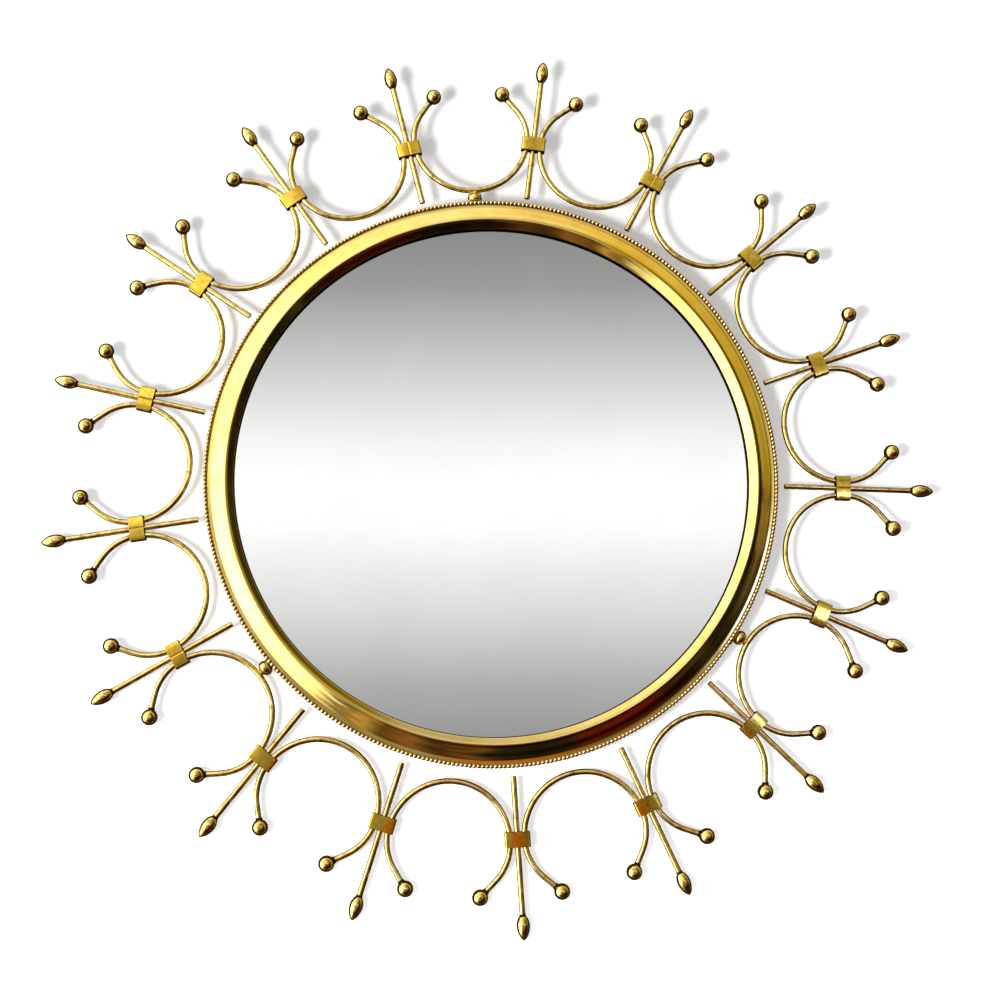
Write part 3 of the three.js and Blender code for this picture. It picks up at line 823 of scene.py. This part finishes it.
# the lit panel from its bottom to its top: how high over its middle, with the light there
PANEL_LIGHT = [
    (-0.2, 0.27), (-0.142, 0.49), (-0.0868, 0.84), (-0.032, 1.14), (0, 1.17), (0.026, 1.06), (0.08, 0.71),
    (0.136, 0.38), (0.2, 0.24)]
# a small window low on the right, which one collar throws back
GLEAM_AXIS = Vector((0.279, -0.958, 0.059))
GLEAM = (4, 5, 18, 1)
SHAKE = 0.35  # how far noise moves a clock hand, in radians
# clock hands in degrees, clockwise from the top, with the light that comes from there
ROOM = [
    (180, (0.03, 0.02, 0.015, 1)), (186, (0.2, 0.1, 0.05, 1)), (193, (0.05, 0.03, 0.02, 1)),
    (201, (0.3, 0.15, 0.06, 1)), (208, (0.1, 0.06, 0.03, 1)), (214, (0.7, 0.5, 0.25, 1)),
    (219, (0.15, 0.12, 0.06, 1)), (226, grey(1.4)), (236, grey(2.6)), (262, grey(5)), (276, grey(4)),
    (300, grey(2.8)), (330, grey(1.9)), (359, grey(1.35)), (20, grey(1.15)), (27, (0.85, 0.72, 0.14, 1)),
    (58, (0.66, 0.58, 0.12, 1)), (82, (0.5, 0.42, 0.08, 1)), (88, (0.12, 0.08, 0.03, 1)),
    (92, (0.42, 0.34, 0.12, 1)), (97, (0.07, 0.04, 0.02, 1)), (108, (0.1, 0.09, 0.05, 1)),
    (116, (0.02, 0.015, 0.01, 1)), (126, (0.1, 0.09, 0.04, 1)), (132, (0.02, 0.01, 0.005, 1)),
    (140, (0.12, 0.01, 0.005, 1)), (158, (0.13, 0.012, 0.006, 1)), (164, grey(0.015)), (176, grey(0.015)),
    (179.9, (0.03, 0.02, 0.015, 1))]
# the same close to the wall, where a little more light comes round
ROOM_RIM = [
    (180, (0.08, 0.05, 0.03, 1)), (205, (0.25, 0.17, 0.1, 1)), (222, (1.0, 0.85, 0.6, 1)), (240, grey(3.5)),
    (270, grey(4)), (300, grey(2.4)), (330, grey(1.7)), (359, grey(1.35)), (25, (1.0, 0.85, 0.4, 1)),
    (60, (0.6, 0.5, 0.15, 1)), (90, (0.3, 0.23, 0.08, 1)), (120, (0.08, 0.06, 0.03, 1)),
    (179.9, (0.08, 0.05, 0.03, 1))]
# what share of that light is left nearer the middle of the room, and further from it
NEAR_SHADE = [
    (180, grey(1)), (345, grey(1)), (0, grey(0.75)), (30, grey(0.3)), (52, grey(0.1)), (92, grey(0.05)),
    (106, grey(0.2)), (122, grey(0.5)), (138, grey(1)), (179.9, grey(1))]
FAR_SHADE = [
    (180, grey(0.2)), (200, grey(1)), (100, grey(1)), (116, grey(0.4)), (140, grey(0.1)), (179.9, grey(0.2))]
# by the tilt from straight ahead, in degrees: where the nearer share holds, and the ceiling's dusk
NEARER = [(72, 0), (66, 1), (54, 1), (50, 0)]
DUSK = [(53, 1), (49, 0.6), (38, 0.6), (32, 1)]
# the light nearly straight ahead
FRONT = [
    (180, (0.5, 0.15, 0.01, 1)), (184, (0.48, 0.17, 0.02, 1)), (194, grey(0.36)), (226, grey(0.36)),
    (242, grey(0.75)), (262, grey(0.65)), (280, grey(1.9)), (322, grey(1.8)), (344, grey(0.86)),
    (50, grey(0.72)), (72, grey(0.26)), (90, grey(0.7)), (110, grey(0.6)), (134, grey(0.2)),
    (158, (0.16, 0.13, 0.05, 1)), (170, (0.48, 0.15, 0.02, 1)), (179.9, (0.5, 0.15, 0.01, 1))]


def round_the_clock(hands):
    """Ramp stops from clock hands in degrees. The ramp starts and ends at the bottom of the clock."""
    return [((hand + 180) % 360 / 360, colour) for hand, colour in hands]


def cosine(degrees):
    return math.cos(math.radians(degrees))


def room_light(tree, toward, ahead):
    """The room as the metal sees it, by the clock hand of a direction.

    It has a window at the left, pale walls above, and furniture in shade at the lower right.
    A little noise breaks up its straight edges.
    """
    spot = add_node(tree, "ShaderNodeSeparateXYZ", {"Vector": toward})
    clock = add_node(tree, "ShaderNodeMath", {
        0: spot.outputs["X"], 1: spot.outputs["Z"]}, operation="ARCTAN2")
    broken = add_node(tree, "ShaderNodeTexNoise", {"Vector": toward, "Scale": 6, "Detail": 2})
    shaken = add_node(tree, "ShaderNodeMath", {
        0: broken.outputs["Fac"], 1: SHAKE, 2: clock.outputs["Value"]}, operation="MULTIPLY_ADD")
    share = add_node(tree, "ShaderNodeMapRange", {
        "Value": shaken.outputs["Value"], "From Min": SHAKE / 2 - math.pi, "From Max": SHAKE / 2 + math.pi})
    room, rim, near_shade, far_shade = [
        add_node(tree, "ShaderNodeValToRGB", {"Fac": share.outputs["Result"]}, stops=round_the_clock(hands))
        for hands in (ROOM, ROOM_RIM, NEAR_SHADE, FAR_SHADE)]
    nearer, dusk = [
        add_node(tree, "ShaderNodeValToRGB", {"Fac": ahead}, stops=[
            (cosine(tilt), grey(level)) for tilt, level in tilts])
        for tilts in (NEARER, DUSK)]
    shade = add_node(tree, "ShaderNodeMix", {
        0: nearer.outputs["Color"], 6: far_shade.outputs["Color"], 7: near_shade.outputs["Color"]},
        data_type="RGBA")
    light = room.outputs["Color"]
    for share_left in (shade.outputs[2], dusk.outputs["Color"]):
        dimmed = add_node(tree, "ShaderNodeVectorMath", {0: light, 1: share_left}, operation="MULTIPLY")
        light = dimmed.outputs["Vector"]
    near_wall = add_node(tree, "ShaderNodeMapRange", {
        "Value": ahead, "From Min": cosine(77), "From Max": cosine(83)}, interpolation_type="SMOOTHSTEP")
    around = add_node(tree, "ShaderNodeMix", {
        0: near_wall.outputs["Result"], 6: light, 7: rim.outputs["Color"]}, data_type="RGBA")
    return around.outputs[2]


def front_light(tree, height, aside):
    """The light nearly straight ahead, where the collars face, by the clock hand round the panel's middle."""
    hand = add_node(tree, "ShaderNodeMath", {0: aside, 1: height}, operation="ARCTAN2")
    share = add_node(tree, "ShaderNodeMapRange", {
        "Value": hand.outputs["Value"], "From Min": -math.pi, "From Max": math.pi})
    front = add_node(tree, "ShaderNodeValToRGB", {"Fac": share.outputs["Result"]},
                     stops=round_the_clock(FRONT))
    return front.outputs["Color"]


def panel_light(tree, height):
    """The lit panel that faces the glass: brightest across its middle."""
    bottom, top = PANEL_LIGHT[0][0], PANEL_LIGHT[-1][0]
    share = add_node(tree, "ShaderNodeMapRange", {"Value": height, "From Min": bottom, "From Max": top})
    panel = add_node(tree, "ShaderNodeValToRGB", {"Fac": share.outputs["Result"]}, stops=[
        ((place - bottom) / (top - bottom), grey(level)) for place, level in PANEL_LIGHT])
    return panel.outputs["Color"]


def brass_light(tree):
    """Everything that the brass and the glass see in front of the wall."""
    toward = add_node(tree, "ShaderNodeTexCoord").outputs["Generated"]
    ahead, height, aside = [
        add_node(tree, "ShaderNodeVectorMath", {0: toward, 1: axis}, operation="DOT_PRODUCT").outputs["Value"]
        for axis in ((0, -1, 0), PANEL_UP, PANEL_SIDE)]
    seen = room_light(tree, toward, ahead)
    # patches laid over the room: an axis, how many degrees off it a patch starts and is full, and its light
    for axis, start, full, light in (
            ((0, -1, 0), 40, 24, front_light(tree, height, aside)),
            (GLEAM_AXIS, 3.7, 2.4, GLEAM),
            (PANEL_AXIS, 14, 11.6, panel_light(tree, height))):
        facing = add_node(tree, "ShaderNodeVectorMath", {0: toward, 1: axis}, operation="DOT_PRODUCT")
        share = add_node(tree, "ShaderNodeMapRange", {
            "Value": facing.outputs["Value"], "From Min": cosine(start), "From Max": cosine(full)},
            interpolation_type="SMOOTHSTEP")
        patched = add_node(tree, "ShaderNodeMix", {0: share.outputs["Result"], 6: seen, 7: light},
                           data_type="RGBA")
        seen = patched.outputs[2]
    return seen


def build_light():
    lamp("studio_lamp", LAMP_PLACE, LAMP_AIM, LAMP_SIZE, LAMP_POWER)
    lamp("rear_fill", FILL_PLACE, FILL_AIM, FILL_SIZE, FILL_POWER)
    world = bpy.data.worlds.new("studio")
    bpy.context.scene.world = world
    world.use_nodes = True
    tree = world.node_tree
    tree.nodes.clear()
    ray = add_node(tree, "ShaderNodeLightPath")
    gloss = add_node(tree, "ShaderNodeBackground", {"Color": brass_light(tree), "Strength": 1})
    plain = add_node(tree, "ShaderNodeBackground", {"Color": grey(1), "Strength": 0.5})
    white = add_node(tree, "ShaderNodeBackground", {"Color": grey(1), "Strength": 1})
    lit = add_node(tree, "ShaderNodeMixShader", {
        "Fac": ray.outputs["Is Glossy Ray"], 1: plain.outputs["Background"], 2: gloss.outputs["Background"]})
    out = add_node(tree, "ShaderNodeMixShader", {
        "Fac": ray.outputs["Is Camera Ray"], 1: lit.outputs["Shader"], 2: white.outputs["Background"]})
    add_node(tree, "ShaderNodeOutputWorld", {"Surface": out.outputs["Shader"]})


def build_camera():
    """The photograph's view: from a little left of the mirror and well below its middle, looking up."""
    turn, rise, roll = math.radians(-3.70), math.radians(-9.80), math.radians(-3.82)
    distance = 0.953  # metres
    focal_pixels, centre_x, centre_y = 1422, 493.3, 476.1  # in the photograph's pixels
    ahead = Vector((-math.sin(turn) * math.cos(rise), math.cos(turn) * math.cos(rise), -math.sin(rise)))
    level = Vector((math.cos(turn), math.sin(turn), 0))
    upward = level.cross(ahead)
    right = math.cos(roll) * level + math.sin(roll) * upward
    up = -math.sin(roll) * level + math.cos(roll) * upward
    camera = bpy.data.objects.new("camera", bpy.data.cameras.new("camera"))
    camera.data.sensor_fit = "HORIZONTAL"
    camera.data.sensor_width = 36
    camera.data.lens = 36 * focal_pixels / PHOTO_WIDTH
    camera.data.shift_x = (PHOTO_WIDTH / 2 - centre_x) / PHOTO_WIDTH
    camera.data.shift_y = (centre_y - PHOTO_HEIGHT / 2) / PHOTO_WIDTH
    axes = Matrix((right, up, -ahead)).transposed().to_4x4()
    aim = Vector((0, WREATH_DEPTH * MM, 0))
    camera.matrix_world = Matrix.Translation(aim - distance * ahead) @ axes
    bpy.context.scene.collection.objects.link(camera)
    bpy.context.scene.camera = camera


build_camera()
moulded_ring()
beaded_wire()
glass()
board()
build_wreath()
hanger_bracket()
hanging_ring()
build_stage()
build_light()
bpy.context.scene.view_settings.view_transform = "Standard"
